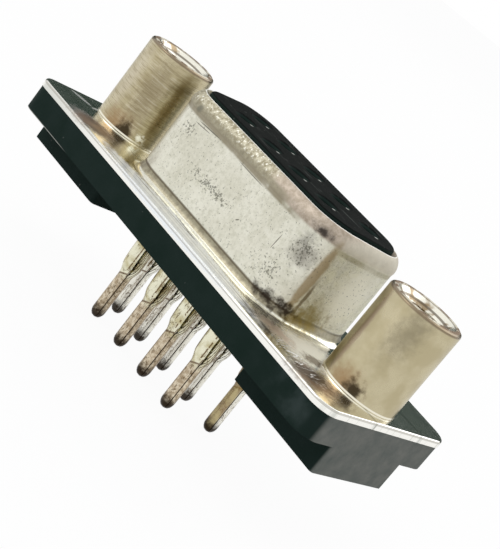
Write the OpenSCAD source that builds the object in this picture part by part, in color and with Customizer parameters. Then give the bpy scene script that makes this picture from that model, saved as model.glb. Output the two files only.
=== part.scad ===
// Nine-way female D-subminiature connector with straight board tails.
//
// Frame: origin at the centre of the flange's front face, midway between the two fixing holes.
// +X runs along the long side, +Z points out of the hood towards the mating plug, and the
// narrow side of the D faces -Y. The feet under the rear insulator seat on the board.

/* [Shell] */
// Length of the flange
flange_l = 31.1; // [30.8:0.1:31.2]
// Width of the flange
flange_w = 12.2; // [12:0.1:12.7]
// Corner radius of the flange
flange_r = 1.3; // [1:0.1:2]
// Thickness of the sheet
sheet_t = 0.42; // [0.36:0.02:0.46]
// Rounding of the flange's front edge
flange_edge = 0.12; // [0.05:0.01:0.15]
// Distance between the two fixing holes
hole_pitch = 24.99; // [24.9:0.01:25.1]
// Diameter of the fixing holes
hole_d = 3.05; // [3.02:0.01:3.2]

/* [Hood] */
// Outer width of the D across its wide side
hood_w = 16.33; // [16.2:0.01:16.4]
// Outer depth of the D
hood_d = 7.9; // [7.8:0.01:8]
// Slant of the two ends of the D
hood_slant = 10; // [8:0.5:12]
// Outer corner radius of the D
hood_r = 2.7; // [2.4:0.1:3]
// Rise of the hood above the flange
hood_rise = 6; // [5.8:0.05:6.2]
// Radius at which the wall is drawn out of the flange
draw_r = 0.6; // [0.4:0.05:0.8]
// Radius of the turned-in mouth
mouth_r = 1; // [0.8:0.05:1.1]
// Angle through which the mouth is turned in
mouth_turn = 58; // [40:1:65]

/* [Insulators] */
// How far the socket face stands out of the mouth
face_proud = 0.18; // [0.1:0.01:0.3]
// Chamfer round the socket face
face_edge = 0.1; // [0.05:0.01:0.15]
// Thickness of the base that holds the front insulator behind the shell
base_t = 0.8; // [0.6:0.05:1]
// How far that base reaches out past the hood
base_out = 1.5; // [1.2:0.1:1.6]
// Thickness of the slab behind the flange
slab_t = 1.63; // [1.5:0.01:2]
// Height of the feet below the slab
foot_h = 1.75; // [1:0.05:2.5]
// Width of the feet across the slab
foot_w = 6.8; // [5:0.1:8]
// Clear distance between the two feet
foot_gap = 16.2; // [15:0.1:17]
// Gap left round pieces that are pushed into place
clear = 0.04; // [0.03:0.01:0.05]

/* [Contacts] */
// Spacing of the contacts along a row
pitch = 2.77; // [2.74:0.01:2.77]
// Distance between the two rows
row_gap = 2.84; // [2.8:0.01:2.86]
// Contacts in the row on the wide side
wide_row = 5; // [5]
// Contacts in the row on the narrow side
narrow_row = 4; // [4]
// Bore that takes the mating pin
socket_d = 1.04; // [1.02:0.01:1.06]
// Outer diameter of the socket barrel
barrel_d = 1.56; // [1.5:0.01:1.6]
// Depth of the barrel's end below the socket face
barrel_depth = 0.9; // [0.8:0.05:1]
// Width of the slots that free the spring fingers
finger_slot = 0.22; // [0.15:0.01:0.25]
// Length of the spring fingers
finger_l = 3.6; // [3:0.1:4]
// Diameter of the retaining collar
collar_d = 2.1; // [2:0.05:2.2]
// Diameter of the rolled part of the tail
roll_d = 1.24; // [1.15:0.01:1.26]
// Thickness of the rolled strip
strip_t = 0.26; // [0.2:0.01:0.28]
// Width of the open seam in the rolled part
seam_w = 0.16; // [0.1:0.01:0.2]
// Direction that the seam faces, measured from +X
seam_angle = -32; // [-60:1:0]
// Length of the rolled part below the slab
roll_l = 3.25; // [3:0.05:3.6]
// Diameter of the closed tip of the tail
tip_d = 0.94; // [0.85:0.01:1]
// Length of the tail below the slab
tail_l = 6.9; // [6:0.1:7.5]

/* [Screwlocks] */
// Diameter of the standoff
post_d = 4.7; // [4.6:0.05:4.9]
// Height of the standoff above the flange
post_h = 5.8; // [5.5:0.05:6.2]
// Chamfer round the standoff's end
post_edge = 0.2; // [0.1:0.05:0.3]
// Wall diameter of the threaded hole, at the crests of the thread
thread_d = 2.26; // [2.2:0.01:2.3]
// Diameter of the countersink at the mouth
mouth_d = 3; // [2.9:0.05:3.1]
// Diameter of the shank that passes through flange and foot
shank_d = 3; // [2.95:0.01:3]
// Diameter of the swaged head under the foot
head_d = 3.9; // [3.7:0.05:4.1]
// Thickness of the swaged head
head_t = 0.35; // [0.3:0.05:0.4]
// Depth of the recess that hides the head
recess_t = 0.6; // [0.5:0.05:0.7]

/* [Hidden] */

corner_steps = 10;
arc_steps = 6;
eps = 0.01;
$fn = 64;

slab_top = -sheet_t;
slab_bottom = slab_top - slab_t;
foot_bottom = slab_bottom - foot_h;
pocket_floor = slab_top - base_t;
face_z = hood_rise + face_proud;
barrel_top = face_z - barrel_depth;
cavity_d = barrel_d + 4 * clear;
entry_d = socket_d + 0.16;
collar_t = 0.6;
collar_top = pocket_floor + collar_t;
roll_end = slab_bottom - roll_l;
tail_end = slab_bottom - tail_l;
taper_l = 0.5;
recess_top = foot_bottom + recess_t;
head_bottom = recess_top - head_t;

// Height of the centre of the mouth's arc, so that the lip ends at hood_rise
mouth_z = hood_rise - mouth_r * sin(mouth_turn);

// Corners of the D: centre and the angles between which each corner turns
corner_y = hood_d / 2 - hood_r;
wide_x = hood_w / 2 - hood_r;
narrow_x = wide_x - 2 * corner_y * tan(hood_slant);
d_corners = [
    [wide_x, corner_y, -hood_slant, 90],
    [-wide_x, corner_y, 90, 180 + hood_slant],
    [-narrow_x, -corner_y, 180 + hood_slant, 270],
    [narrow_x, -corner_y, 270, 360 - hood_slant]];

// Corners of the flange, in the same order
flange_x = flange_l / 2 - flange_r;
flange_y = flange_w / 2 - flange_r;
flange_corners = [
    [flange_x, flange_y, 0, 90],
    [-flange_x, flange_y, 90, 180],
    [-flange_x, -flange_y, 180, 270],
    [flange_x, -flange_y, 270, 360]];

// Outline through four round corners of radius r, as points in the plane
function outline(corners, r) = [
    for (c = corners, k = [0:corner_steps])
        let (a = c[2] + (c[3] - c[2]) * k / corner_steps)
        [c[0] + r * cos(a), c[1] + r * sin(a)]];

// The same outline at height z; d is the distance outside the hood's outer wall
function d_ring(d, z) = [for (p = outline(d_corners, hood_r + d)) [p[0], p[1], z]];
function flange_ring(d, z) = [for (p = outline(flange_corners, flange_r + d)) [p[0], p[1], z]];

// Points [d, z] on an arc of a section
function arc(centre, r, from, to, steps = arc_steps) = [
    for (k = [0:steps])
        let (a = from + (to - from) * k / steps)
        [centre[0] + r * cos(a), centre[1] + r * sin(a)]];

// Skin over a row of equal rings; closed joins the last ring to the first, and an open skin is
// capped at both ends
module skin(rings, closed) {
    m = len(rings[0]);
    n = len(rings);
    last = closed ? n - 1 : n - 2;
    sides = [
        for (i = [0:last], j = [0:m - 1])
            let (a = i * m + j, b = i * m + (j + 1) % m,
                 c = ((i + 1) % n) * m + (j + 1) % m, d = ((i + 1) % n) * m + j)
            each [[a, d, c], [a, c, b]]];
    caps = closed ? [] : [
        [for (j = [0:m - 1]) j],
        [for (j = [m - 1:-1:0]) (n - 1) * m + j]];
    polyhedron(points = [for (r = rings, p = r) p], faces = concat(sides, caps), convexity = 6);
}

// Runs its children at both fixing holes
module at_fixings() {
    for (side = [-1, 1]) translate([side * hole_pitch / 2, 0, 0]) children();
}

// Place of each contact: the wide row first, from -X to +X, then the narrow row
function contact_place(i) = i <= wide_row
    ? [(i - (wide_row + 1) / 2) * pitch, row_gap / 2]
    : [(i - wide_row - (narrow_row + 1) / 2) * pitch, -row_gap / 2];

module at_contacts() {
    for (i = [1:wide_row + narrow_row]) translate(contact_place(i)) children();
}

// Drawn in one piece from sheet: the flange, the draw radius, the wall and the turned-in lip are
// one section carried round the D
module shell() {
    front = concat(
        [for (a = [0:30:90]) flange_ring(flange_edge * (cos(a) - 1), flange_edge * (sin(a) - 1))],
        [for (p = arc([draw_r, draw_r], draw_r, 270, 180)) d_ring(p[0], p[1])],
        [for (p = arc([-mouth_r, mouth_z], mouth_r, 0, mouth_turn)) d_ring(p[0], p[1])]);
    back = concat(
        [for (p = arc([-mouth_r, mouth_z], mouth_r - sheet_t, mouth_turn, 0)) d_ring(p[0], p[1])],
        [for (p = arc([draw_r, draw_r], draw_r + sheet_t, 180, 270)) d_ring(p[0], p[1])],
        [flange_ring(0, -sheet_t)]);
    color([0.84, 0.82, 0.76])
    difference() {
        skin(concat(front, back), true);
        at_fixings() translate([0, 0, -1]) cylinder(d = hole_d, h = 2);
    }
}

// Block of insulation that fills the hood, with a wider base caught behind the shell
module front_insulator() {
    wall = -sheet_t - clear;
    lip = arc([-mouth_r, mouth_z], mouth_r + wall, 0, mouth_turn);
    rim = lip[len(lip) - 1][0];
    section = concat(
        [[base_out, pocket_floor], [base_out, slab_top], [wall, slab_top]],
        lip,
        [[rim, face_z - face_edge], [rim - face_edge, face_z]]);
    color([0.11, 0.15, 0.15])
    difference() {
        skin([for (p = section) d_ring(p[0], p[1])], false);
        at_contacts() {
            translate([0, 0, pocket_floor - eps]) cylinder(d = cavity_d, h = barrel_top + clear - pocket_floor);
            translate([0, 0, pocket_floor - eps]) cylinder(d = collar_d + 2 * clear, h = collar_t + eps);
            translate([0, 0, barrel_top - eps]) cylinder(d = entry_d, h = barrel_depth + 1);
            translate([0, 0, face_z - 0.2]) cylinder(d1 = entry_d, d2 = entry_d + 0.5, h = 0.2 + eps);
        }
    }
}

// Rectangle with round corners, centred
module rounded_plate(l, w, r, h) {
    linear_extrude(h) {
        square([l - 2 * r, w], center = true);
        square([l, w - 2 * r], center = true);
        for (x = [-1, 1], y = [-1, 1]) translate([x * (l / 2 - r), y * (w / 2 - r)]) circle(r);
    }
}

// Slab behind the flange with a foot at each end that seats on the board
module rear_insulator() {
    slab_l = flange_l - 2 * clear;
    slab_w = flange_w - 2 * clear;
    foot_l = (slab_l - foot_gap) / 2;
    color([0.11, 0.15, 0.15])
    difference() {
        union() {
            translate([0, 0, slab_bottom]) rounded_plate(slab_l, slab_w, flange_r, slab_t);
            for (side = [-1, 1])
                translate([side * (foot_gap + foot_l) / 2, 0, foot_bottom])
                    rounded_plate(foot_l, foot_w, 0.25, foot_h + 0.5);
        }
        translate([0, 0, pocket_floor]) linear_extrude(base_t + 1)
            polygon(outline(d_corners, hood_r + base_out + clear));
        at_contacts() translate([0, 0, slab_bottom - 1]) cylinder(d = roll_d + 2 * clear, h = slab_t + 2);
        at_fixings() {
            translate([0, 0, foot_bottom - 1]) cylinder(d = hole_d, h = slab_t + foot_h + 2);
            translate([0, 0, foot_bottom - 1]) cylinder(d = head_d + 0.3, h = recess_t + 1);
        }
    }
}

// Stamped and rolled contact: slotted socket barrel, collar, rolled tail with an open seam that
// ends in a notch, and a closed round-nosed tip
module contact(i) {
    tip_r = tip_d / 2;
    nose_l = 0.6;
    nose = [for (k = [0:arc_steps])
        let (a = 90 * k / arc_steps)
        [tip_r * sin(a), tail_end + nose_l * (1 - cos(a))]];
    body = concat(nose, [
        [tip_r, roll_end - taper_l],
        [roll_d / 2, roll_end],
        [roll_d / 2, pocket_floor],
        [collar_d / 2, pocket_floor],
        [collar_d / 2, collar_top],
        [barrel_d / 2, collar_top],
        [barrel_d / 2, barrel_top - 0.15],
        [barrel_d / 2 - 0.1, barrel_top],
        [0, barrel_top]]);
    color([0.76, 0.72, 0.6])
    translate(contact_place(i)) rotate(seam_angle)
    difference() {
        rotate_extrude() polygon(body);
        // socket bore and its flared mouth
        translate([0, 0, collar_top]) cylinder(d = socket_d, h = barrel_top);
        translate([0, 0, barrel_top - 0.15]) cylinder(d1 = socket_d, d2 = socket_d + 0.3, h = 0.15 + eps);
        // slots between the spring fingers
        translate([-barrel_d, -finger_slot / 2, barrel_top - finger_l]) cube([2 * barrel_d, finger_slot, finger_l + 1]);
        // hollow of the rolled tail and its open seam
        translate([0, 0, roll_end]) cylinder(d = roll_d - 2 * strip_t, h = roll_l + slab_t);
        translate([0, -seam_w / 2, roll_end]) cube([roll_d, seam_w, slab_bottom + 0.2 - roll_end]);
        // notch where the seam ends, cut through the strip
        translate([0, 0, roll_end]) rotate([90, 0, 90]) linear_extrude(roll_d)
            polygon([[-seam_w, 0], [0, -0.4], [seam_w, 0], [seam_w / 2, 0.5], [-seam_w / 2, 0.5]]);
        // closed seam of the tip
        translate([tip_r - 0.12, -0.03, tail_end + 0.35]) cube([0.5, 0.06, tail_l - roll_l - 0.7]);
    }
}

// Threaded standoff whose shank passes through flange and foot and is swaged under the foot
module screwlock(side) {
    body = [
        [0, head_bottom],
        [head_d / 2, head_bottom],
        [head_d / 2, recess_top],
        [shank_d / 2, recess_top],
        [shank_d / 2, 0],
        [post_d / 2, 0],
        [post_d / 2, post_h - post_edge],
        [post_d / 2 - post_edge, post_h],
        [0, post_h]];
    sink = (mouth_d - thread_d) / 2;
    color([0.74, 0.7, 0.58])
    translate([side * hole_pitch / 2, 0, 0])
    difference() {
        rotate_extrude() polygon(body);
        translate([0, 0, head_bottom - 1]) cylinder(d = thread_d, h = post_h - head_bottom + 2);
        translate([0, 0, post_h - sink]) cylinder(d1 = thread_d, d2 = mouth_d + 2 * eps, h = sink + eps);
    }
}

shell();
front_insulator();
rear_insulator();
screwlock(-1);  // screwlock_left
screwlock(1);  // screwlock_right
for (i = [1:wide_row + narrow_row])
    contact(i);
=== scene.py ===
"""Nine-way female D-sub connector with board tails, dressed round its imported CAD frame."""
import math

import bmesh
import bpy
from mathutils import Matrix, Vector


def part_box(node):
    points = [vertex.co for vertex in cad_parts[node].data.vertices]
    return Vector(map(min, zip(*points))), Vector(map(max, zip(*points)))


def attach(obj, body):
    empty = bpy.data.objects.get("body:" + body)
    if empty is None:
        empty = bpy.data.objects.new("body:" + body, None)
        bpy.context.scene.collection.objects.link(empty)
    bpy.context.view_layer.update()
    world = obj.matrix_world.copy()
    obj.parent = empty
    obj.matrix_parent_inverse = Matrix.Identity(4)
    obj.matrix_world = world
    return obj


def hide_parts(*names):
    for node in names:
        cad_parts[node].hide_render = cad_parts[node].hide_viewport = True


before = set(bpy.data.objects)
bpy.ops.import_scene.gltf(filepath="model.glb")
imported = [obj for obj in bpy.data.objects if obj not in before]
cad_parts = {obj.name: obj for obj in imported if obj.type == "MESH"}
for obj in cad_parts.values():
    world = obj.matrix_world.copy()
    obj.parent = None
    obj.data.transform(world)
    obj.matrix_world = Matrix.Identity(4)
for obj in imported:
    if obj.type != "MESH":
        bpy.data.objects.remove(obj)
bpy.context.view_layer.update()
MM = 0.001

# ---- sizes, in metres -------------------------------------------------------------------------
SHELL_LOW, SHELL_HIGH = (Vector(c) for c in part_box("shell"))
POCKET_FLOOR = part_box("front_insulator")[0][2]
FACE_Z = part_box("front_insulator")[1][2]
TAIL_END, BARREL_TOP = (c[2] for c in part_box("contact_1"))
HEAD_Z, POST_HIGH = (c[2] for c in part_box("screwlock_left"))

SHEET = -SHELL_LOW.z                       # thickness of the drawn sheet
FLANGE_L = SHELL_HIGH.x - SHELL_LOW.x
FLANGE_W = SHELL_HIGH.y - SHELL_LOW.y
FLANGE_R = 1.3 * MM
FLANGE_EDGE = 0.12 * MM                    # rounding of the flange's front edge
HOOD_W = 16.33 * MM
HOOD_D = 7.9 * MM
HOOD_SLANT = math.radians(10)
HOOD_R = 2.7 * MM
DRAW_R = 0.6 * MM                          # between flange and hood wall
MOUTH_R = 1.0 * MM
MOUTH_TURN = math.radians(58)
BEAD = 0.05 * MM                           # how far the mouth stands out of the wall
LIP = 0.05 * MM                            # rounding of the sheet's end in the mouth
HOLE_PITCH = 24.99 * MM
HOLE_R = 1.525 * MM
SLAB_BOTTOM = SHELL_LOW.z - 1.63 * MM

COLLAR_R = 1.05 * MM
COLLAR_TOP = POCKET_FLOOR + 0.6 * MM
BARREL_R = 0.78 * MM
BORE_R = 0.52 * MM
FLARE = 0.15 * MM                          # lead-in at the mouth of the barrel
FINGER_L = 3.6 * MM
FINGER_SLOT = 0.22 * MM

PITCH = 2.77 * MM
ROW_GAP = 2.84 * MM
ROLL_R = 0.62 * MM                         # rolled part of the tail
ROLL_L = 3.25 * MM
TIP_R = 0.43 * MM                          # closed part below it
NOSE_L = 0.55 * MM                         # rounded end
STRIP = 0.2 * MM                           # thickness of the rolled strip
SEAM_TURN = math.radians(-32)

POST_R = 2.35 * MM
POST_EDGE = 0.2 * MM
SHANK_R = 1.5 * MM
HEAD_R = 1.95 * MM                         # swaged end behind the foot
HEAD_L = 0.35 * MM
MOUTH_HOLE_R = 1.92 * MM
SINK = 0.5 * MM                            # depth of the countersink
THREAD_R = 1.13 * MM
THREAD_DEPTH = 0.29 * MM
THREAD_PITCH = 0.635 * MM
THREAD_TURNS = 8
THREAD_STEPS = 36                          # per turn

LEVEL = (0, 0, 0)                          # no turn


# ---- small mesh helpers -----------------------------------------------------------------------
def chain(bm, points):
    """Vertices joined in a row by edges."""
    verts = [bm.verts.new(p) for p in points]
    edges = [bm.edges.new(pair) for pair in zip(verts, verts[1:])]
    return verts, edges


def arc(centre, radius, start, end, steps):
    """Points (out, up) of an arc of a section."""
    angles = [start + (end - start) * k / steps for k in range(steps + 1)]
    return [(centre[0] + radius * math.cos(a), centre[1] + radius * math.sin(a)) for a in angles]


def carry_round(bm, section, corners, radius, steps):
    """Carries a section of (out, up) points round four corners (x, y, start, end)."""
    ends = []
    for x, y, start, end in corners:
        way = Vector((math.cos(start), math.sin(start), 0))
        verts, edges = chain(bm, [Vector((x, y, up)) + way * (radius + out) for out, up in section])
        swept = bmesh.ops.spin(bm, geom=verts + edges, cent=(x, y, 0), axis=(0, 0, 1),
                               angle=end - start, steps=steps, use_duplicate=False)
        last = [g for g in swept["geom_last"] if isinstance(g, bmesh.types.BMEdge)]
        ends.append((edges, last))
    for k in range(4):
        bmesh.ops.bridge_loops(bm, edges=ends[k][1] + ends[(k + 1) % 4][0])


def boundary(bm, z):
    """Open edges that lie at height z."""
    return [e for e in bm.edges if e.is_boundary and all(abs(v.co.z - z) < 1e-7 for v in e.verts)]


def finish_mesh(bm, name, material, sharp=35, weld=1e-6):
    """Welds, turns the faces outwards, shades smooth below the sharp angle and makes the object."""
    bmesh.ops.remove_doubles(bm, verts=bm.verts, dist=weld)
    bmesh.ops.recalc_face_normals(bm, faces=bm.faces)
    for f in bm.faces:
        f.smooth = True
    for e in bm.edges:
        e.smooth = len(e.link_faces) == 2 and e.calc_face_angle(0) < math.radians(sharp)
    mesh = bpy.data.meshes.new(name)
    bm.to_mesh(mesh)
    bm.free()
    piece = bpy.data.objects.new(name, mesh)
    bpy.context.scene.collection.objects.link(piece)
    piece.data.materials.append(material)
    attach(piece, "root")
    return piece


def bevel_sharp(bm, width, segments=3, angle=35):
    """Rounds every edge that turns by more than the angle."""
    edges = [e for e in bm.edges
             if len(e.link_faces) == 2 and e.calc_face_angle(0) > math.radians(angle)]
    bmesh.ops.bevel(bm, geom=edges, offset=width, affect="EDGES", segments=segments, profile=0.5,
                    material=-1, clamp_overlap=True)


def copy_of_node(node):
    """The CAD node's solid as a welded mesh with its flat faces joined up."""
    bm = bmesh.new()
    bm.from_mesh(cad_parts[node].data)
    bmesh.ops.remove_doubles(bm, verts=bm.verts, dist=1e-6)
    bmesh.ops.dissolve_limit(bm, angle_limit=math.radians(0.5), verts=bm.verts, edges=bm.edges)
    return bm


def contact_place(i):
    """Centre of contact i: five on the wide side, then four on the narrow side."""
    if i <= 5:
        return Vector(((i - 3) * PITCH, ROW_GAP / 2, 0))
    return Vector(((i - 7.5) * PITCH, -ROW_GAP / 2, 0))


# ---- shader helpers ---------------------------------------------------------------------------
class Wire:
    """A shader socket that takes part in arithmetic; each operator adds one Math node."""

    def __init__(self, paint, socket):
        self.paint = paint
        self.socket = socket

    def __add__(self, other): return self.paint.maths("ADD", self, other)
    def __radd__(self, other): return self.paint.maths("ADD", other, self)
    def __sub__(self, other): return self.paint.maths("SUBTRACT", self, other)
    def __rsub__(self, other): return self.paint.maths("SUBTRACT", other, self)
    def __mul__(self, other): return self.paint.maths("MULTIPLY", self, other)
    def __rmul__(self, other): return self.paint.maths("MULTIPLY", other, self)


class Paint:
    """One material's node tree with a Principled shader."""

    def __init__(self, name, **constants):
        self.material = bpy.data.materials.new(name)
        self.material.use_nodes = True
        self.nodes = self.material.node_tree.nodes
        self.links = self.material.node_tree.links
        self.shader = self.nodes["Principled BSDF"]
        for key, value in constants.items():
            self.shader.inputs[key.replace("_", " ")].default_value = value
        self.place = self.node("ShaderNodeTexCoord").outputs["Object"]
        axes = self.node("ShaderNodeSeparateXYZ", {"Vector": self.place})
        self.x, self.y, self.z = (Wire(self, axes.outputs[k]) for k in "XYZ")
        self.ragged = self.noise(2.6, 3, 0.6)

    def node(self, kind, inputs=None, **settings):
        made = self.nodes.new(kind)
        for key, value in settings.items():
            setattr(made, key, value)
        for key, value in (inputs or {}).items():
            self.put(made.inputs[key], value)
        return made

    def put(self, socket, value):
        """Links a socket to a wire or another socket, or gives it a constant."""
        if isinstance(value, Wire):
            value = value.socket
        if isinstance(value, bpy.types.NodeSocket):
            self.links.new(value, socket)
        elif isinstance(value, tuple) and len(value) == 3 and socket.type == "RGBA":
            socket.default_value = (*value, 1)
        else:
            socket.default_value = value

    def maths(self, operation, *values):
        made = self.node("ShaderNodeMath", operation=operation)
        for socket, value in zip(made.inputs, values):
            self.put(socket, value)
        return Wire(self, made.outputs[0])

    def noise(self, scale, detail=3.0, rough=0.5, stretch=(1, 1, 1), turn=(0, 0, 0)):
        """Noise from 0 to 1; scale is in features per millimetre and turn in radians."""
        at = self.node("ShaderNodeMapping", {"Vector": self.place, "Rotation": turn,
                                             "Scale": tuple(s / MM for s in stretch)})
        made = self.node("ShaderNodeTexNoise", {"Vector": at.outputs[0], "Scale": scale,
                                                "Detail": detail, "Roughness": rough})
        return Wire(self, made.outputs["Fac"])

    def step(self, value, low, high):
        """0 below low, 1 above high, smooth between; the other way round where low is the larger."""
        made = self.node("ShaderNodeMapRange", {"Value": value, "From Min": low, "From Max": high},
                         interpolation_type="SMOOTHSTEP")
        return Wire(self, made.outputs[0])

    def spot(self, centre, radii, turn=LEVEL, ragged=0.5, hard=0.3):
        """1 inside the hard share of an ellipsoid, fading to 0 at its ragged edge.

        Its centre and radii are in millimetres and its turn in degrees.
        """
        at = self.node("ShaderNodeMapping",
                       {"Vector": self.place, "Rotation": tuple(math.radians(a) for a in turn),
                        "Location": tuple(c * MM for c in centre),
                        "Scale": tuple(r * MM for r in radii)}, vector_type="TEXTURE")
        far = self.node("ShaderNodeVectorMath", {0: at.outputs[0]}, operation="LENGTH")
        edge = Wire(self, far.outputs["Value"])
        if ragged:
            edge = edge + (self.ragged - 0.5) * (2 * ragged)
        return self.step(edge, 1.0, hard)

    def line(self, first, last, width, deep=0.6):
        """A scratch between two places (x, y, z) in millimetres that share a height or a depth."""
        a, b = Vector(first), Vector(last)
        along = b - a
        turn = Vector((1, 0, 0)).rotation_difference(along).to_euler()
        return self.spot((a + b) / 2, (along.length / 2, deep, width),
                         [math.degrees(t) for t in turn], 0.12, 0.7)

    def band(self, value, low, high, soft):
        """1 between two values, fading over the soft width outside them."""
        return self.step(value, low - soft, low) * self.step(value, high + soft, high)

    def blend(self, factor, first, second):
        made = self.node("ShaderNodeMix", data_type="RGBA")
        self.put(made.inputs["Factor"], factor)
        self.put(made.inputs[6], first)
        self.put(made.inputs[7], second)
        return made.outputs[2]

    def mark(self, base, marks):
        """Lays spots over a base colour, in order; a mark is its share, its colour and its spot."""
        for share, colour, *spot in marks:
            base = self.blend(self.spot(*spot) * share, base, colour)
        return base

    def bump(self, height, distance, strength):
        made = self.node("ShaderNodeBump", {"Height": height, "Distance": distance, "Strength": strength})
        self.put(self.shader.inputs["Normal"], made.outputs[0])

    def colour(self, value):
        self.put(self.shader.inputs["Base Color"], value)

    def rough(self, value):
        self.put(self.shader.inputs["Roughness"], value)

    def metallic(self, value):
        self.put(self.shader.inputs["Metallic"], value)


# ---- materials --------------------------------------------------------------------------------
WHITE = (1.0, 1.0, 1.0)
NICKEL = (0.79, 0.775, 0.67)
PALE = (0.93, 0.92, 0.87)
GREENISH = (0.80, 0.78, 0.61)
GREY = (0.24, 0.23, 0.20)
SHADE_DARK = (0.030, 0.022, 0.016)

# marks as (share, colour, centre, radii, turn, ragged, hard), with places in millimetres
HOOD_END_MARKS = [
    (0.5, (0.34, 0.28, 0.10), (7.9, -1.0, 1.2), (1.2, 1.6, 1.9), LEVEL, 0.8, 0.0),
]
HOOD_CORNER_MARKS = [
    # painted reflection: a brown band down the bend with a darker line behind it
    (0.8, (0.31, 0.225, 0.11), (7.40, -2.50, 2.9), (0.36, 0.42, 3.3), (0, 2.6, 0), 0.25, 0.5),
    (0.85, (0.16, 0.115, 0.05), (7.58, -2.15, 1.7), (0.14, 0.17, 2.2), (0, 2.6, 0), 0.4, 0.4),
    # end wall painted pale as if turned to the light, with darker olive at its foot
    (0.85, (1.0, 0.98, 0.86), (8.15, 0.3, 2.9), (0.8, 2.0, 3.2), LEVEL, 0.2, 0.2),
    (0.9, (0.30, 0.235, 0.08), (7.9, -1.3, 0.8), (1.2, 2.3, 1.2), LEVEL, 0.9, 0.0),
    # painted reflection in a grey cloud beside the bend, painted shade at its head and foot
    (0.75, (0.22, 0.20, 0.17), (6.6, -3.4, 3.7), (1.2, 1.2, 1.2), LEVEL, 0.45, 0.0),
    (0.45, GREY, (6.3, -3.5, 4.5), (0.6, 0.7, 0.8), LEVEL, 0.9, 0.0),
    (0.95, SHADE_DARK, (6.65, -3.3, 5.32), (0.95, 0.8, 0.42), (0, 8, 0), 0.8, 0.1),
    (0.95, SHADE_DARK, (5.9, -3.95, 0.65), (0.7, 0.7, 0.42), LEVEL, 1.0, 0.1),
    (0.95, SHADE_DARK, (6.7, -3.5, 0.7), (1.0, 1.0, 0.6), LEVEL, 1.0, 0.1),
    (0.95, SHADE_DARK, (7.4, -2.7, 0.65), (0.95, 0.95, 0.57), LEVEL, 1.0, 0.1),
    # small dark hook at the other end of the mouth
    (0.8, (0.20, 0.19, 0.14), (-5.15, -3.9, 5.2), (0.4, 0.5, 0.35), LEVEL, 0.5, 0.3),
]
POST_SHADE_AND_SHEEN = [
    # painted shade down the left post, and a painted sheen beside it
    (0.75, (0.27, 0.22, 0.13), (-11.16, -1.93, 3.2), (1.5, 1.2, 3.6), LEVEL, 0.5, 0.1),
    (0.6, (0.62, 0.56, 0.44), (-12.82, -2.24, 3.2), (0.9, 0.9, 3.4), LEVEL, 0.4, 0.1),
]
POST_MARKS = [
    # painted reflections and shade in streaks along the posts
    (0.7, (0.21, 0.15, 0.05), (-10.29, -0.80, 3.0), (0.36, 0.5, 3.4), LEVEL, 0.3, 0.3),
    (0.6, (0.20, 0.17, 0.11), (13.89, -1.89, 4.51), (1.3, 1.1, 2.8), (0, 12, 0), 0.5, 0.0),
    (0.6, (0.30, 0.21, 0.16), (11.59, -2.09, 2.8), (0.35, 0.5, 3.4), LEVEL, 0.2, 0.4),
    # dark patch in a brown ring low on each post
    (0.8, (0.30, 0.185, 0.09), (-11.75, -2.02, 0.30), (1.7, 1.3, 1.47), LEVEL, 0.4, 0.1),
    (0.93, (0.035, 0.026, 0.014), (-11.15, -1.92, 0.30), (0.85, 0.8, 0.945), LEVEL, 0.7, 0.2),
    (0.8, (0.30, 0.185, 0.09), (12.85, -2.20, 0.35), (1.615, 1.3, 1.4), LEVEL, 0.4, 0.1),
    (0.93, (0.035, 0.026, 0.014), (13.45, -2.10, 0.35), (0.8075, 0.8, 0.9), LEVEL, 0.7, 0.2),
]


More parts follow.
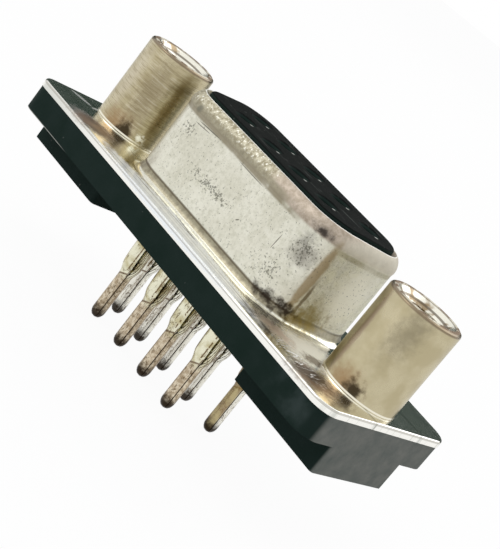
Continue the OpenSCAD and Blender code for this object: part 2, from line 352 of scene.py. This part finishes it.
def nickel_sheet():
    """Bright nickel on drawn sheet: browned creases, painted shade and reflections at the corner, painted
    reflections and light on the flange, specks and hairline scratches.
    """
    p = Paint("nickel_sheet")
    wall = p.step(p.z, 0.5 * MM, 0.8 * MM)
    plate = p.step(p.z, 0.09 * MM, 0.03 * MM)
    end = p.step(p.x, 7.2 * MM, 7.8 * MM)
    cloud = p.noise(0.45, 3)
    mottle = p.noise(3.0, 5, 0.75)
    fine = p.noise(9, 2, 0.6)

    # hood wall, greener on the right end
    base = p.blend(p.step(cloud, 0.35, 0.7) * 0.5, NICKEL, (0.62, 0.60, 0.49))
    base = p.blend(p.step(mottle, 0.42, 0.70) * 0.55, base, (0.50, 0.49, 0.38))
    base = p.blend(p.step(mottle, 0.45, 0.30) * 0.5, base, (0.80, 0.79, 0.70))
    base = p.blend(end * p.step(p.noise(1.3, 4, 0.6), 0.35, 0.7) * 0.8, base, GREENISH)
    olive = p.band(p.noise(2.2, 4, 0.7), 0.50, 0.52, 0.02) * end * wall
    base = p.blend(olive * 0.35, base, (0.34, 0.31, 0.15))
    base = p.mark(base, HOOD_END_MARKS)

    # flange: pale with grey draw lines, a painted white reflection in a strip in front of the hood and a
    # painted bright reflection near its right end
    draw = p.noise(1.0, 2, 0.5, stretch=(0.03, 2.6, 0.03))
    pale = p.blend(p.step(draw, 0.50, 0.66), PALE, (0.70, 0.71, 0.66))
    pale = p.blend(p.step(draw, 0.66, 0.70) * 0.6, pale, GREY)
    base = p.blend(plate, base, pale)
    # painted white reflection in a strip in front of the hood
    bright = p.spot((0.0, -5.4, 0), (9.5, 1.25, 0.5), ragged=0.2, hard=0.7)
    base = p.blend(bright, base, (0.93, 0.96, 0.97))
    hair = p.band(p.noise(0.8, 1, 0.5, stretch=(0.05, 1.6, 0.05)), 0.52, 0.535, 0.012) * bright
    base = p.blend(hair * 0.8, base, (0.14, 0.13, 0.10))
    # painted bright reflection on the flange near its right end
    bright_end_reflection = p.spot((10.2, -2.2, 0), (2.6, 3.4, 0.5), ragged=0.3, hard=0.4)
    base = p.blend(bright_end_reflection * 0.95, base, (1.0, 0.97, 0.86))

    # flange: a rose patch, a dark spot beside the right post, brown patches in front of the posts' feet
    # painted as the posts' reflections, white curls
    rose_patch = p.spot((8.7, -4.2, 0), (2.2, 1.3, 0.5), (0, 0, 20), ragged=0.6, hard=0.2)
    base = p.blend(rose_patch * 0.85, base, (0.50, 0.38, 0.28))
    foot = p.spot((10.9, -2.7, 0), (0.75, 1.3, 0.5), ragged=0.9, hard=0.3)
    base = p.blend(foot * 0.9, base, (0.14, 0.09, 0.05))
    brown = p.blend(p.step(cloud, 0.35, 0.6), (0.25, 0.16, 0.105), (0.08, 0.045, 0.025))
    post_reflections = 0
    for centre, radii in (((-10.4, -4.8, 0), (2.3, 1.9, 0.5)), ((12.9, -4.7, 0), (2.3, 2.1, 0.5))):
        patch = p.spot(centre, radii, (0, 0, 12), ragged=0.35, hard=0.4)
        post_reflections = patch + post_reflections
        base = p.blend(patch * 0.95, base, brown)
    curl = p.band(p.noise(1.1, 2, 0.6, stretch=(1.8, 0.5, 1)), 0.485, 0.515, 0.012)
    curl = curl * p.spot((11.4, -4.7, 0), (2.6, 1.1, 0.5), (0, 0, 8), 0.4, 0.3)
    base = p.blend(curl, base, WHITE)
    # painted shade along the lower part of the flange's edge
    edge_shade = p.band(p.z, -0.14 * MM, -0.05 * MM, 0.03 * MM)
    base = p.blend(edge_shade * 0.6, base, (0.40, 0.38, 0.33))

    # draw radius at the foot of the wall
    root = p.band(p.z, 0.24 * MM, 0.60 * MM, 0.08 * MM)
    root_brown = p.blend(p.step(mottle, 0.4, 0.6), (0.17, 0.14, 0.08), (0.30, 0.27, 0.18))
    base = p.blend(root * 0.85, base, root_brown)
    crease = p.band(p.z, 0.60 * MM, 0.66 * MM, 0.07 * MM)
    base = p.blend(crease * 0.7, base, (0.10, 0.075, 0.04))

    # rounded mouth: gold speckle with painted white glints on the left, rose on the right painted paler
    # towards the lit end, and a painted highlight along the lip
    rim = p.step(p.z, 4.95 * MM, 5.15 * MM)
    gold = p.blend(p.step(p.noise(4, 4, 0.7), 0.35, 0.65), (0.24, 0.20, 0.11), (0.60, 0.56, 0.42))
    gold = p.blend(p.step(p.noise(8, 1), 0.64, 0.70) * 0.8, gold, (1.0, 1.0, 0.92))
    rose = p.blend(p.step(mottle, 0.3, 0.7), (0.56, 0.47, 0.38), (0.34, 0.27, 0.20))
    rose = p.blend(end * 0.7, rose, (0.80, 0.76, 0.64))
    ring = p.blend(p.step(p.x, 1.5 * MM, 3.0 * MM), gold, rose)
    low = p.step(p.z, 5.55 * MM, 5.30 * MM) * p.step(p.x, 4.6 * MM, 3.2 * MM)
    low_brown = p.blend(p.step(mottle, 0.35, 0.65), (0.20, 0.17, 0.10), (0.38, 0.34, 0.23))
    ring = p.blend(low * 0.8, ring, low_brown)
    base = p.blend(rim * 0.9, base, ring)
    base = p.blend(p.step(p.z, 5.955 * MM, 5.985 * MM), base, PALE)

    # brown shadow under the mouth, on the front and on the right end
    under = p.band(p.z, 4.86 * MM, 5.02 * MM, 0.16 * MM) * p.step(p.x, 5.8 * MM, 4.2 * MM)
    base = p.blend(under * p.step(p.noise(0.7, 3), 0.2, 0.45) * 0.75, base, (0.20, 0.16, 0.09))
    under = p.band(p.z, 4.80 * MM, 4.95 * MM, 0.14 * MM) * end * p.step(mottle, 0.25, 0.45)
    base = p.blend(under * 0.6, base, (0.30, 0.25, 0.12))
    base = p.mark(base, HOOD_CORNER_MARKS)

    # specks, denser in four patches, and scratches
    dense = (p.spot((-5.0, -3.95, 3.9), (1.1, 0.5, 0.8), ragged=0.8, hard=0.0)
             + p.spot((-1.0, -3.95, 2.5), (3.0, 0.5, 0.55), ragged=0.6, hard=0.0) * 1.5
             + p.spot((5.8, -3.9, 1.8), (1.5, 0.6, 1.4), ragged=0.8, hard=0.0)
             + p.spot((6.6, -3.4, 3.8), (1.2, 1.0, 1.6), ragged=0.8, hard=0.0))
    specks = p.step(fine + dense * 0.135, 0.63, 0.71) * wall * p.step(p.z, 5.0 * MM, 4.8 * MM)
    base = p.blend(specks * 0.65, base, (0.10, 0.10, 0.075))
    scratches = (p.line((-4.8, -3.95, 4.68), (-2.35, -3.95, 4.82), 0.035)
                 + p.line((-4.9, -3.95, 4.5), (-3.3, -3.95, 4.6), 0.03)
                 + p.line((-0.6, -3.95, 4.75), (2.2, -3.95, 4.72), 0.03)
                 + p.line((1.9, -3.95, 2.3), (2.15, -3.95, 2.5), 0.04)
                 + p.line((5.0, -3.95, 2.6), (5.1, -3.95, 3.8), 0.03))
    flaw = (p.line((-15.3, -3.6, 0), (-13.6, -2.6, 0), 0.5, 0.26)
            + p.line((-13.9, -1.2, 0), (-13.4, -3.0, 0), 0.5, 0.2))
    base = p.blend(flaw * 0.9, base, WHITE)
    p.colour(p.blend(scratches * 0.8, base, (0.07, 0.06, 0.045)))

    p.rough(0.11 + cloud * 0.05 + wall * 0.22 + end * wall * 0.16 + specks * 0.2
            + rim * 0.2 + post_reflections * 0.3 + root * 0.22 + rose_patch * 0.3)
    p.metallic(1.0 - (bright + flaw * 0.6 + curl * 0.9) * 0.75
               - end * wall * 0.6 - bright_end_reflection * 0.85 - rim * (1 - end) * 0.45)
    p.bump(p.noise(0.5, 2) * 2 + (fine * 0.08 - scratches * 0.3) * wall, 0.003 * MM, 0.7)
    return p.material


def black_insulator():
    """Greenish black moulding with a faint grain; both end faces are painted pale grey, as if lit."""
    p = Paint("black_insulator", Specular_IOR_Level=0.03)
    grain = p.noise(6, 3, 0.6)
    cloud = p.noise(0.7, 3)
    from_middle = p.maths("ABSOLUTE", p.x)
    base = p.blend(cloud, (0.0065, 0.0165, 0.0120), (0.018, 0.029, 0.026))
    base = p.blend(p.step(p.z, FACE_Z - 0.1 * MM, FACE_Z - 0.05 * MM), base, (0.003, 0.004, 0.0035))
    # both end faces painted pale grey, as if turned to the light
    lit_end_grey = p.blend(p.noise(1.2, 4, 0.6), (0.080, 0.100, 0.092), (0.24, 0.235, 0.21))
    base = p.blend(p.step(from_middle, 15.35 * MM, 15.5 * MM), base, lit_end_grey)
    dust = p.step(p.noise(2.3, 1, 0.4), 0.76, 0.8)
    base = p.blend(dust * 0.2, base, (0.3, 0.3, 0.28))
    side = p.step(p.x, 9.5 * MM, 14 * MM) * p.step(p.y, -5.8 * MM, -6.0 * MM) * p.step(cloud, 0.4, 0.7)
    base = p.blend(side * 0.7, base, (0.040, 0.055, 0.052))
    # painted highlight along the slab's lower edge above the foot
    edge_highlight = p.band(p.z, SLAB_BOTTOM - 0.02 * MM, SLAB_BOTTOM + 0.03 * MM, 0.02 * MM)
    edge_highlight = edge_highlight * p.step(p.x, -9.5 * MM, -11 * MM) * p.step(p.y, -5.9 * MM, -6.0 * MM)
    base = p.blend(edge_highlight * 0.8, base, (0.42, 0.42, 0.38))
    # scratches on the socket face, and painted highlights on the chamfers round the mouths of the sockets
    scratched = p.step(p.noise(1.4, 2, stretch=(0.35, 3, 1), turn=(0, 0, 0.4)), 0.66, 0.72)
    base = p.blend(scratched * p.step(p.z, FACE_Z - 0.1 * MM, FACE_Z) * 0.4, base, (0.10, 0.11, 0.10))
    ring, turn, narrow = contact_polar(p, 0.0)
    socket_glints = p.band(ring, 0.80 * MM, 1.0 * MM, 0.05 * MM) * p.band(turn, -0.40, -0.24, 0.08)
    socket_glints = socket_glints * p.step(p.z, FACE_Z - 0.3 * MM, FACE_Z - 0.2 * MM)
    socket_glints = socket_glints * (1 - narrow * p.step(from_middle, 2 * PITCH, 2 * PITCH + 0.05 * MM))
    p.colour(p.blend(socket_glints * 0.9, base, (0.60, 0.60, 0.55)))
    p.rough(0.5 + cloud * 0.1 + grain * 0.1)
    p.bump(grain, 0.01 * MM, 0.5)
    return p.material


def nickel_screwlock():
    """Nickel over turned brass: fine turning lines round the posts, with painted shading, highlights and
    brown reflections streaking along them.
    """
    p = Paint("nickel_screwlock", Metallic=1.0)
    cloud = p.noise(0.8, 3)
    turning = p.noise(1.0, 3, 0.6, stretch=(0.8, 0.8, 12))
    left = p.step(p.x, 1 * MM, -1 * MM)
    out = p.step(p.z, 0.0, 0.05 * MM)
    base = p.blend(p.step(cloud, 0.35, 0.65), (0.54, 0.48, 0.32), (0.46, 0.40, 0.25))
    base = p.mark(base, POST_SHADE_AND_SHEEN)
    base = p.blend(p.step(turning, 0.50, 0.66) * left * 0.45, base, (0.20, 0.155, 0.08))
    base = p.blend(p.step(turning, 0.45, 0.36) * left * 0.25, base, (0.72, 0.68, 0.55))
    base = p.mark(base, POST_MARKS)
    glint = p.spot((-10.35, -0.9, 0.35), (0.5, 0.5, 0.45), ragged=0.9, hard=0.4)
    base = p.blend(glint * p.step(p.noise(3.5, 1), 0.45, 0.6), base, (1, 1, 0.92))
    # painted shade on the top chamfer and a painted reflection on the crown
    lip = p.step(p.z, POST_HIGH - 0.24 * MM, POST_HIGH - 0.16 * MM)
    base = p.blend(lip * 0.75, base, (0.17, 0.12, 0.08))
    crown = p.step(p.z, POST_HIGH - 0.05 * MM, POST_HIGH - 0.02 * MM)
    crown_reflection = p.blend(p.step(p.noise(1.6, 2), 0.42, 0.52), (0.58, 0.55, 0.46), (0.22, 0.16, 0.11))
    base = p.blend(crown, base, crown_reflection)
    # inside of the mouth painted pale as if lit, with painted shade in the roots of the thread
    off = p.maths("ABSOLUTE", p.x) - HOLE_PITCH / 2
    from_axis = p.maths("SQRT", off * off + p.y * p.y)
    inside = p.step(from_axis, MOUTH_HOLE_R + 0.02 * MM, MOUTH_HOLE_R - 0.03 * MM)
    inside = inside * p.step(p.z, 0.5 * MM, 1.0 * MM)
    inside_pale = p.blend(p.step(p.noise(1.2, 2), 0.50, 0.62), (0.84, 0.82, 0.72), (0.34, 0.26, 0.16))
    base = p.blend(inside, base, inside_pale)
    rings = p.step(p.maths("SINE", p.z * (4 * math.pi / THREAD_PITCH)), 0.2, 0.8) * inside
    base = p.blend(rings * 0.8, base, (0.12, 0.09, 0.06))
    # painted highlight on the base ring
    base = p.blend(p.step(p.z, 0.14 * MM, 0.10 * MM) * out, base, (0.86, 0.82, 0.68))
    p.colour(base)
    p.rough(0.24 + cloud * 0.08 + crown * 0.35)
    p.bump(turning * out, 0.004 * MM, 0.6)
    return p.material


def contact_polar(p, start):
    """Distance from the nearest contact's axis, angle round it from a start angle, and narrow row or not."""
    narrow = p.maths("LESS_THAN", p.y, 0.0)
    x = p.maths("WRAP", p.x + narrow * (PITCH / 2), PITCH / 2, -PITCH / 2)
    y = p.y - ROW_GAP / 2 + narrow * ROW_GAP
    ring = p.maths("SQRT", x * x + y * y)
    turn = p.maths("WRAP", p.maths("ARCTAN2", y, x) - start, math.pi, -math.pi)
    return ring, turn, narrow


def tinned_contact():
    """Dull tin over rolled strip, brown in the hollows, with the roll's end lines and a dark nose; painted
    shade down one side, and the wide row painted paler.
    """
    p = Paint("tinned_contact", Metallic=1.0)
    _, turn, narrow = contact_polar(p, SEAM_TURN)
    across = turn * 0.6                        # about millimetres round the roll from its seam
    below = (SLAB_BOTTOM - p.z) * (1 / MM)     # millimetres below the slab
    cloud = p.noise(1.6, 3)
    grain = p.noise(4, 3, 0.6)
    base = p.blend(p.step(cloud, 0.40, 0.70), (0.84, 0.82, 0.64), (0.56, 0.50, 0.29))
    # painted shade down one side of the roll
    right = p.step(across, 0.25, 0.6)
    base = p.blend(right * p.step(grain, 0.4, 0.6) * 0.6, base, (0.34, 0.23, 0.10))
    head = p.step(below, 1.2, 0.0)
    base = p.blend(head * p.step(cloud, 0.35, 0.6) * 0.7, base, (0.34, 0.23, 0.08))
    tip = p.step(below, 3.4, 4.0)
    tip_tan = p.blend(p.step(grain, 0.35, 0.65), (0.72, 0.63, 0.48), (0.42, 0.33, 0.22))
    base = p.blend(tip, base, tip_tan)
    # the wide row painted paler than the narrow one, as if lit more; painted shade on the narrow row's
    # flanks
    base = p.blend((1 - narrow) * 0.75, base, (0.90, 0.90, 0.83))
    flank = p.step(p.maths("ABSOLUTE", across + 0.28), 0.62, 0.82)
    base = p.blend(flank * narrow * 0.55, base, (0.30, 0.20, 0.11))
    # dotted line left of the seam
    dots = p.band(across, -0.30, -0.25, 0.035) * p.band(below, 0.6, 3.0, 0.3)
    dots = dots * p.step(p.noise(6, 1), 0.40, 0.48)
    base = p.blend(dots * 0.9, base, (0.15, 0.085, 0.03))
    # nested lines round the end of the roll
    far = p.maths("SQRT", (across + 0.15) * (across + 0.15) + (below - 1.9) * (below - 1.9) * 0.12)
    nest = p.maths("SINE", far * 46 + grain * 4)
    nest = p.step(nest, 0.35, 0.8) * p.band(across, 0.04, 0.62, 0.05) * p.band(below, 1.3, 3.5, 0.3)
    base = p.blend(nest * 0.95, base, (0.05, 0.035, 0.02))
    # step where the roll ends, and the closed seam below it
    step = p.band(below + across * 0.35, 3.35, 3.42, 0.05) * p.step(across, -0.05, -0.15)
    step = p.maths("MAXIMUM", step, p.band(across, -0.12, -0.08, 0.03) * p.band(below, 3.1, 3.5, 0.15))
    base = p.blend(step * 0.85, base, (0.16, 0.10, 0.06))
    closed = p.band(across, -0.05, -0.01, 0.03) * p.step(below, 3.2, 3.5)
    base = p.blend(closed * 0.95, base, (0.03, 0.02, 0.012))
    # brown veins
    vein = p.noise(1.7, 3, 0.6, stretch=(1, 1, 0.35))
    vein = p.maths("MAXIMUM", p.band(vein, 0.50, 0.515, 0.012), p.band(vein, 0.40, 0.41, 0.012))
    base = p.blend(vein * p.step(cloud, 0.40, 0.50) * 0.7, base, (0.13, 0.085, 0.04))
    # painted shade: the last contact of the wide row is darker brown on one side of its seam
    last = p.step(p.x, 4.5 * MM, 4.9 * MM) * p.step(below, 0.8, 1.2)
    last = last * p.step(across, 0.0, -0.12) * (1 - narrow)
    last_shade_brown = p.blend(p.step(cloud, 0.35, 0.6), (0.42, 0.33, 0.13), (0.24, 0.15, 0.05))
    base = p.blend(last * 0.85, base, last_shade_brown)
    nose = p.step(below + grain * 0.8, 6.1, 6.9)
    p.colour(p.blend(nose * 0.97, base, (0.020, 0.013, 0.008)))
    p.rough(0.30 + cloud * 0.12)
    p.bump(grain * 0.6 - nest * 0.4 - step * 0.5 - dots * 0.3, 0.01 * MM, 0.7)
    return p.material


# ---- shell ------------------------------------------------------------------------------------
def d_corners():
    """Corners of the D: centre and the angles between which each turns."""
    y = HOOD_D / 2 - HOOD_R
    wide = HOOD_W / 2 - HOOD_R
    narrow = wide - 2 * y * math.tan(HOOD_SLANT)
    half = math.pi / 2
    return [(wide, y, -HOOD_SLANT, half), (-wide, y, half, math.pi + HOOD_SLANT),
            (-narrow, -y, math.pi + HOOD_SLANT, 3 * half), (narrow, -y, 3 * half, 4 * half - HOOD_SLANT)]


def plate_corners(length, width, radius):
    """The same for a rectangular plate."""
    x, y, half = length / 2 - radius, width / 2 - radius, math.pi / 2
    return [(x, y, 0, half), (-x, y, half, 2 * half),
            (-x, -y, 2 * half, 3 * half), (x, -y, 3 * half, 4 * half)]


def make_shell(material):
    """One drawn sheet: flange, draw radius, wall and turned-in lip."""
    bm = bmesh.new()
    flat = 0.08 * MM                           # short flat run that the fill is joined to
    wall_short = 0.22 * MM                     # straight wall ends this far below the mouth's arc
    quarter = math.pi / 2
    mouth = (-MOUTH_R, SHELL_HIGH.z - MOUTH_R * math.sin(MOUTH_TURN))
    root = (DRAW_R, DRAW_R)
    # hood: up the outside, over the lip and down the inside
    outside = [(DRAW_R + flat, 0)] + arc(root, DRAW_R, 3 * quarter, 2 * quarter, 10)
    outside += [(0, mouth[1] - wall_short)]
    bead = (mouth[0] + BEAD, mouth[1])
    outside += arc(bead, MOUTH_R, 0, MOUTH_TURN - LIP / MOUTH_R, 12)
    inner_r = MOUTH_R - SHEET
    inside = arc(mouth, inner_r, MOUTH_TURN - LIP / inner_r, 0, 8)
    inside += arc(root, DRAW_R + SHEET, 2 * quarter, 3 * quarter, 8) + [(DRAW_R + flat, -SHEET)]
    lip_in = arc(mouth, inner_r + LIP * 0.4, MOUTH_TURN, MOUTH_TURN, 1)[:1]
    lip_out = arc(bead, MOUTH_R - LIP * 0.4, MOUTH_TURN, MOUTH_TURN, 1)[:1]
    carry_round(bm, outside + lip_out + lip_in + inside, d_corners(), HOOD_R, 20)
    # rounded rim of the flange
    rim = [(-FLANGE_EDGE - flat, 0)] + arc((-FLANGE_EDGE, -FLANGE_EDGE), FLANGE_EDGE, quarter, 0, 4)
    rim += [(0, -SHEET), (-flat, -SHEET)]
    carry_round(bm, rim, plate_corners(FLANGE_L, FLANGE_W, FLANGE_R), FLANGE_R, 12)
    # fixing holes
    for side in (-1, 1):
        ring = bmesh.ops.create_circle(bm, segments=48, radius=HOLE_R,
                                       matrix=Matrix.Translation((side * HOLE_PITCH / 2, 0, 0)))
        loop = [e for e in bm.edges if set(e.verts) <= set(ring["verts"])]
        wall = bmesh.ops.extrude_edge_only(bm, edges=loop)
        down = [g for g in wall["geom"] if isinstance(g, bmesh.types.BMVert)]
        bmesh.ops.translate(bm, verts=down, vec=(0, 0, -SHEET))
    bmesh.ops.remove_doubles(bm, verts=bm.verts, dist=1e-7)
    for z in (0, -SHEET):
        bmesh.ops.triangle_fill(bm, edges=boundary(bm, z), use_beauty=True)
    piece = finish_mesh(bm, "drawn_shell", material, sharp=50)
    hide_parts("shell")


# ---- insulators -------------------------------------------------------------------------------
def make_insulator(node, name, material, round_edge):
    """The node's moulding with its edges rounded as a mould leaves them."""
    bm = copy_of_node(node)
    bevel_sharp(bm, round_edge, 2)
    piece = finish_mesh(bm, name, material, sharp=40)
    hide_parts(node)


# ---- contacts ---------------------------------------------------------------------------------
def tail_shape(down):
    """Radius, half seam and sideways shift of the rolled strip at a distance below the slab."""
    closing = min(max((down - ROLL_L + 0.35 * MM) / (0.8 * MM), 0), 1)
    closing = closing * closing * (3 - 2 * closing)
    belly = math.sin(min(max(down / ROLL_L, 0), 1) * math.pi)
    radius = ROLL_R + (TIP_R - ROLL_R) * closing + 0.03 * MM * belly
    seam = 0.055 * MM * (1 - closing) + 0.014 * MM
    shift = -0.1 * MM * belly
    return radius, seam, shift


def make_contact(i, material):
    """Slotted socket barrel on its collar, and a tail rolled from a strip with its seam open."""
    place = contact_place(i)
    bm = bmesh.new()
    # tail: a strip of quads rolled about the axis
    top = POCKET_FLOOR
    length = top - TAIL_END
    grid = bmesh.ops.create_grid(bm, x_segments=20, y_segments=72, size=0.5)
    for v in grid["verts"]:
        across, along = v.co.x * 2, (0.5 - v.co.y) * length
        z = top - along
        radius, seam, shift = tail_shape(SLAB_BOTTOM - z)
        left = z - TAIL_END
        if left < NOSE_L:
            radius *= math.sqrt(max(1 - (1 - left / NOSE_L) ** 2, 0.0004))
        gap = min(seam / max(radius, 0.02 * MM), 0.4)
        angle = SEAM_TURN + math.pi + across * (math.pi - gap)
        v.co = place + Vector((radius * math.cos(angle) + shift, radius * math.sin(angle), z))
    bm.normal_update()
    bmesh.ops.solidify(bm, geom=bm.faces[:], thickness=STRIP)
    # collar and barrel up to the foot of the slots
    slot_foot = BARREL_TOP - FINGER_L
    body = [(0, top), (COLLAR_R, top), (COLLAR_R, COLLAR_TOP), (BARREL_R, COLLAR_TOP),
            (BARREL_R, slot_foot), (BORE_R, slot_foot), (BORE_R, COLLAR_TOP), (0, COLLAR_TOP)]
    verts, edges = chain(bm, [place + Vector((r, 0, z)) for r, z in body])
    bmesh.ops.spin(bm, geom=verts + edges, cent=place, axis=(0, 0, 1), angle=2 * math.pi,
                   steps=32, use_merge=True)
    # two spring fingers, one on each side of the slots
    finger = [(BORE_R, slot_foot), (BARREL_R, slot_foot), (BARREL_R, BARREL_TOP - FLARE),
              (BARREL_R - FLARE * 0.7, BARREL_TOP), (BORE_R + FLARE * 0.6, BARREL_TOP),
              (BORE_R, BARREL_TOP - FLARE)]
    half_slot = math.asin(FINGER_SLOT / 2 / BARREL_R)
    for start in (half_slot, half_slot + math.pi):
        way = Vector((math.cos(start), math.sin(start), 0))
        verts, edges = chain(bm, [place + way * r + Vector((0, 0, z)) for r, z in finger])
        edges.append(bm.edges.new((verts[-1], verts[0])))
        bm.faces.new(verts)
        swept = bmesh.ops.spin(bm, geom=verts + edges, cent=place, axis=(0, 0, 1),
                               angle=math.pi - 2 * half_slot, steps=12)
        last = [g for g in swept["geom_last"] if isinstance(g, bmesh.types.BMVert)]
        bmesh.ops.contextual_create(bm, geom=last)
    piece = finish_mesh(bm, f"socket_contact_{i}", material, sharp=45, weld=1e-7)
    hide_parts(f"contact_{i}")


# ---- screwlocks -------------------------------------------------------------------------------
def make_screwlock(side, name, node, material):
    """Standoff turned as one profile, with a countersunk mouth and its thread."""
    x = side * HOLE_PITCH / 2
    bm = bmesh.new()
    recess = HEAD_Z + HEAD_L
    soft = 0.05 * MM                           # small roundings of the turned profile
    core = THREAD_R + THREAD_DEPTH * 0.6       # bore behind the thread's ridge
    profile = [
        (THREAD_R, HEAD_Z), (HEAD_R, HEAD_Z), (HEAD_R, recess), (SHANK_R, recess),
        (SHANK_R, 0), (POST_R + soft, 0), (POST_R + soft, soft * 0.6), (POST_R, soft * 2.4),
        (POST_R, POST_HIGH - POST_EDGE), (POST_R - soft, POST_HIGH - POST_EDGE + 0.1 * MM),
        (POST_R - POST_EDGE, POST_HIGH - soft * 0.3), (POST_R - POST_EDGE - soft, POST_HIGH),
        (MOUTH_HOLE_R + soft, POST_HIGH), (MOUTH_HOLE_R, POST_HIGH - soft * 0.4),
        (core, POST_HIGH - SINK), (core, HEAD_Z)]
    verts, edges = chain(bm, [(x + r, 0, z) for r, z in profile + profile[:1]])
    bmesh.ops.spin(bm, geom=verts + edges, cent=(x, 0, 0), axis=(0, 0, 1), angle=2 * math.pi,
                   steps=96, use_merge=True)
    # helical thread: one ridge section spun upwards
    start = POST_HIGH - SINK - THREAD_TURNS * THREAD_PITCH
    root = THREAD_R + THREAD_DEPTH * 0.7
    ridge = [(root, -THREAD_PITCH * 0.46), (THREAD_R, -THREAD_PITCH * 0.06),
             (THREAD_R, THREAD_PITCH * 0.06), (root, THREAD_PITCH * 0.46)]
    verts, edges = chain(bm, [(x + r, 0, start + z) for r, z in ridge])
    edges.append(bm.edges.new((verts[-1], verts[0])))
    bm.faces.new(verts)
    swept = bmesh.ops.spin(bm, geom=verts + edges, cent=(x, 0, 0), axis=(0, 0, 1),
                           dvec=(0, 0, THREAD_PITCH / THREAD_STEPS),
                           angle=2 * math.pi * THREAD_TURNS, steps=THREAD_STEPS * THREAD_TURNS)
    last = [g for g in swept["geom_last"] if isinstance(g, bmesh.types.BMVert)]
    bmesh.ops.contextual_create(bm, geom=last)
    piece = finish_mesh(bm, name, material, sharp=30, weld=1e-7)
    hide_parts(node)


# ---- stage ------------------------------------------------------------------------------------
CAMERA_AT = Vector((52.56, -65.96, 19.49)) * MM
CAMERA_AIM = Vector((2.04, 0, -0.30)) * MM
CAMERA_ROLL = math.radians(38.56)
CAMERA_LENS = 98.1


def make_camera():
    """Long lens, rolled so that the connector leans across the frame."""
    data = bpy.data.cameras.new("camera")
    data.lens = CAMERA_LENS
    data.sensor_width = 36
    data.clip_start, data.clip_end = 0.005, 10
    camera = bpy.data.objects.new("camera", data)
    bpy.context.scene.collection.objects.link(camera)
    camera.location = CAMERA_AT
    level = (CAMERA_AIM - CAMERA_AT).to_track_quat("-Z", "Y").to_matrix()
    camera.rotation_euler = (level @ Matrix.Rotation(CAMERA_ROLL, 3, "Z")).to_euler()
    bpy.context.scene.camera = camera


def seen_directly(tree):
    """Socket that is 1 for what the camera and the reflections see, and 0 for light that is shed."""
    path = tree.nodes.new("ShaderNodeLightPath")
    seen = tree.nodes.new("ShaderNodeMath")
    seen.operation = "MAXIMUM"
    tree.links.new(path.outputs["Is Camera Ray"], seen.inputs[0])
    tree.links.new(path.outputs["Is Glossy Ray"], seen.inputs[1])
    return seen.outputs[0]


def make_floor():
    """Pale floor under the tails that reads as white and keeps a faint shadow."""
    bpy.ops.mesh.primitive_plane_add(size=3, location=(0, 0, TAIL_END))
    floor = bpy.context.object
    floor.name = "floor"
    material = bpy.data.materials.new("floor_white")
    material.use_nodes = True
    tree = material.node_tree
    shader = tree.nodes["Principled BSDF"]
    shader.inputs["Base Color"].default_value = (0.9, 0.9, 0.9, 1)
    shader.inputs["Roughness"].default_value = 0.9
    glow = tree.nodes.new("ShaderNodeEmission")
    glow.inputs["Strength"].default_value = 1.0
    share = tree.nodes.new("ShaderNodeMath")
    share.operation = "MULTIPLY"
    share.inputs[1].default_value = 0.95       # the rest shows the shadow
    tree.links.new(seen_directly(tree), share.inputs[0])
    mix = tree.nodes.new("ShaderNodeMixShader")
    tree.links.new(share.outputs[0], mix.inputs[0])
    tree.links.new(shader.outputs[0], mix.inputs[1])
    tree.links.new(glow.outputs[0], mix.inputs[2])
    tree.links.new(mix.outputs[0], tree.nodes["Material Output"].inputs["Surface"])
    floor.data.materials.append(material)


def make_card():
    """Dark card beyond the connector, seen only in the metal's reflections."""
    away = Vector((-0.61, 0.79, 0))            # from the camera, over the connector
    distance, height = 0.5, 0.07
    bpy.ops.mesh.primitive_plane_add(size=1, location=away * distance + Vector((0, 0, height)))
    card = bpy.context.object
    card.name = "card"
    card.scale = (0.9, 0.30, 1)
    card.rotation_euler = (-away).to_track_quat("Z", "Y").to_euler()
    material = bpy.data.materials.new("card_dark")
    material.use_nodes = True
    tree = material.node_tree
    glow = tree.nodes.new("ShaderNodeEmission")
    glow.inputs["Color"].default_value = (0.040, 0.058, 0.047, 1)
    tree.links.new(glow.outputs[0], tree.nodes["Material Output"].inputs["Surface"])
    card.data.materials.append(material)
    card.visible_camera = False
    card.visible_diffuse = False
    card.visible_shadow = False


def make_world():
    """Even pale light; what the camera and the metal see directly is white."""
    world = bpy.data.worlds.new("studio")
    bpy.context.scene.world = world
    world.use_nodes = True
    tree = world.node_tree
    plain = tree.nodes["Background"]
    plain.inputs["Color"].default_value = (0.9, 0.92, 0.95, 1)
    plain.inputs["Strength"].default_value = 0.65
    white = tree.nodes.new("ShaderNodeBackground")
    white.inputs["Strength"].default_value = 1.0
    white.inputs["Color"].default_value = (1, 1, 1, 1)
    mix = tree.nodes.new("ShaderNodeMixShader")
    tree.links.new(seen_directly(tree), mix.inputs[0])
    tree.links.new(plain.outputs[0], mix.inputs[1])
    tree.links.new(white.outputs[0], mix.inputs[2])
    tree.links.new(mix.outputs[0], tree.nodes["World Output"].inputs["Surface"])


def add_lamp(name, at, size, power):
    """Rectangular lamp aimed at the connector; place and size in metres, power in watts."""
    data = bpy.data.lights.new(name, "AREA")
    data.shape = "RECTANGLE"
    data.size, data.size_y = size
    data.energy = power
    lamp = bpy.data.objects.new(name, data)
    bpy.context.scene.collection.objects.link(lamp)
    lamp.location = at
    lamp.rotation_euler = (-Vector(at)).to_track_quat("-Z", "Y").to_euler()


def make_lamps():
    add_lamp("key", (-0.20, -0.30, 0.40), (0.4, 0.4), 1.0)
    add_lamp("back", (-0.05, 0.4, 0.35), (0.4, 0.4), 0.6)


# ---- build ------------------------------------------------------------------------------------
bpy.context.scene.view_settings.view_transform = "Standard"
sheet, black = nickel_sheet(), black_insulator()
post, tin = nickel_screwlock(), tinned_contact()
make_shell(sheet)
make_insulator("front_insulator", "socket_block", black, 0.05 * MM)
make_insulator("rear_insulator", "slab_and_feet", black, 0.09 * MM)
for number in range(1, 10):
    make_contact(number, tin)
make_screwlock(-1, "standoff_left", "screwlock_left", post)
make_screwlock(1, "standoff_right", "screwlock_right", post)
make_camera()
make_floor()
make_card()
make_world()
make_lamps()
